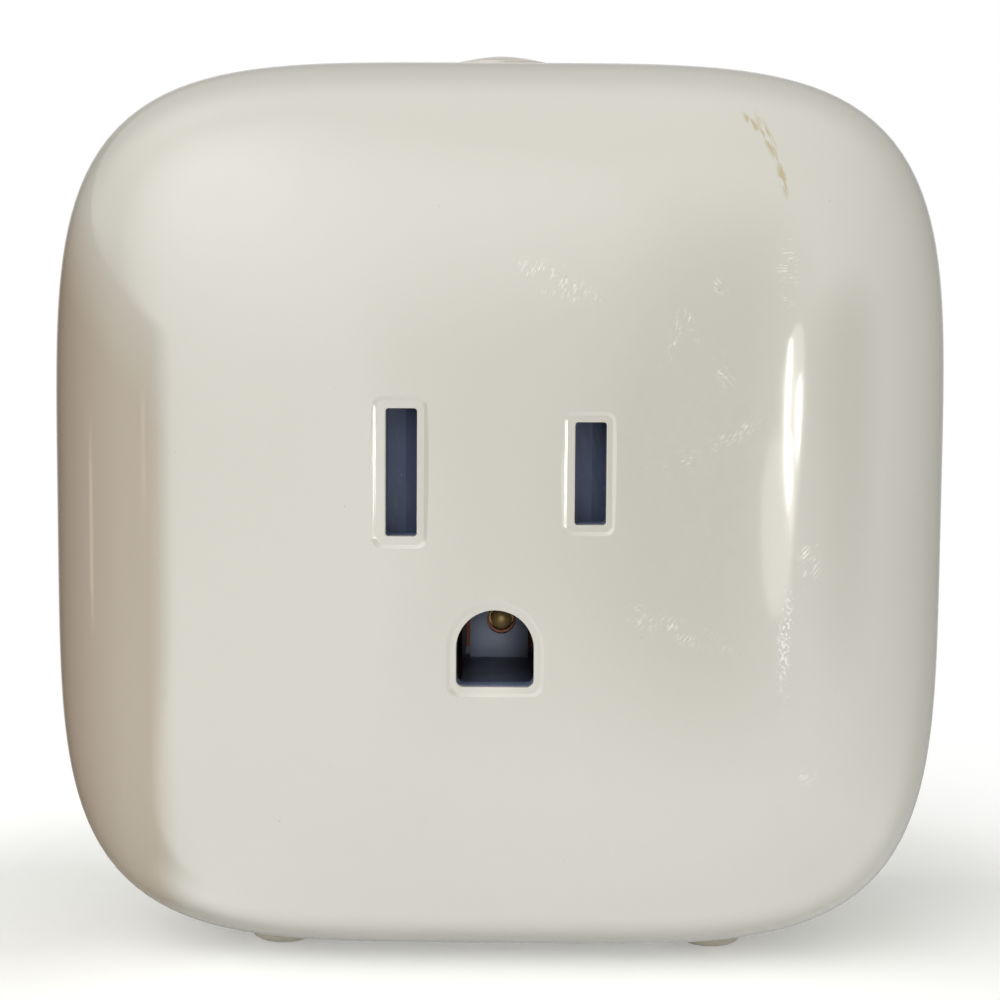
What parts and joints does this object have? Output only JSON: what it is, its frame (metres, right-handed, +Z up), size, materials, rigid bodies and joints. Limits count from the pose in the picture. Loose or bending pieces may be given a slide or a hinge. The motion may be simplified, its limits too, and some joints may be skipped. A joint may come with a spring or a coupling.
{
  "type": "smart plug",
  "caption": "Pillow-shaped plug-in switched outlet: grounded socket in a domed white face, push button on top, wall prongs behind, electronics inside.",
  "frame": {"origin": "middle of the flat rear face that meets the wall plate", "axes": "+Y into the wall along the prongs, +Z up, +X to the right of someone facing the socket"},
  "size_m": [0.064, 0.0585, 0.0657],
  "materials": {
    "white_gloss": "glossy moulded off-white ABS with fine handling scratches",
    "button_white": "glossy moulded off-white",
    "silicone": "soft translucent grey silicone",
    "black_plastic": "dark moulded insulating plastic",
    "socket_grey": "grey moulded insulating plastic",
    "brass": "stamped brass, lightly tarnished",
    "steel": "zinc-plated steel",
    "board_green": "green solder resist on glass fibre laminate",
    "relay_blue": "moulded blue cover",
    "copper": "enamelled copper and copper alloy",
    "ferrite": "sintered ferrite",
    "tape_yellow": "yellow insulating film",
    "can_sleeve": "shrink sleeve on an aluminium can",
    "chip_black": "black moulding compound",
    "disc_blue": "blue epoxy dip",
    "lens_white": "clear-white resin",
    "fuse_glass": "glass body with metal end caps"
  },
  "bodies": {
    "case": {"front_shell": "white_gloss", "face_insert": "white_gloss", "rear_cover": "white_gloss", "foot_front_left": "silicone", "foot_front_right": "silicone", "foot_rear_left": "silicone", "foot_rear_right": "silicone", "face_backing": "black_plastic", "socket_cap": "black_plastic", "blade_retainer": "black_plastic", "socket_body": "socket_grey", "neutral_contact": "brass", "hot_contact": "brass", "ground_contact": "brass", "neutral_blade": "brass", "hot_blade": "brass", "ground_pin": "brass", "case_screw_1": "steel", "case_screw_2": "steel", "case_screw_3": "steel", "case_screw_4": "steel", "retainer_screw_left": "steel", "retainer_screw_right": "steel", "shutter_spring": "steel", "relay_yoke": "steel", "wifi_shield": "steel", "circuit_board": "board_green", "wifi_module": "board_green", "relay_cover": "relay_blue", "relay_coil": "copper", "relay_fixed_contact": "copper", "choke": "copper", "transformer_core": "ferrite", "transformer_winding": "tape_yellow", "safety_capacitor": "tape_yellow", "bulk_capacitor": "can_sleeve", "relay_base": "chip_black", "tact_switch_body": "chip_black", "bridge_rectifier": "chip_black", "shunt_resistor": "chip_black", "varistor": "disc_blue", "status_led": "lens_white", "fuse": "fuse_glass"},
    "button": {"power_button": "button_white"},
    "switch_plunger": {"tact_switch_plunger": "chip_black"},
    "shutter": {"shutter": "black_plastic"},
    "armature": {"relay_armature": "steel", "relay_moving_contact": "copper"}
  },
  "joints": [
    {"name": "button_press", "type": "slide", "parent": "case", "child": "button", "axis": [0, 0, -1], "range_m": [0, 0.0004], "stiffness_N_per_m": 600},
    {"name": "plunger_press", "type": "slide", "parent": "case", "child": "switch_plunger", "axis": [0, 0, -1], "range_m": [0, 0.0005]},
    {"name": "shutter_slide", "type": "slide", "parent": "case", "child": "shutter", "axis": [-1, 0, 0], "range_m": [0, 0.0026], "stiffness_N_per_m": 150, "deforming": ["shutter_spring"]},
    {"name": "armature_swing", "type": "hinge", "parent": "case", "child": "armature", "pos_m": [-0.0191, -0.0196, 0.0043], "axis": [1, 0, 0], "range_deg": [0, 5], "stiffness_Nm_per_rad": 0.01}
  ],
  "couplings": [
    {"joint": "plunger_press", "follows": "button_press", "ratio": 1}
  ]
}
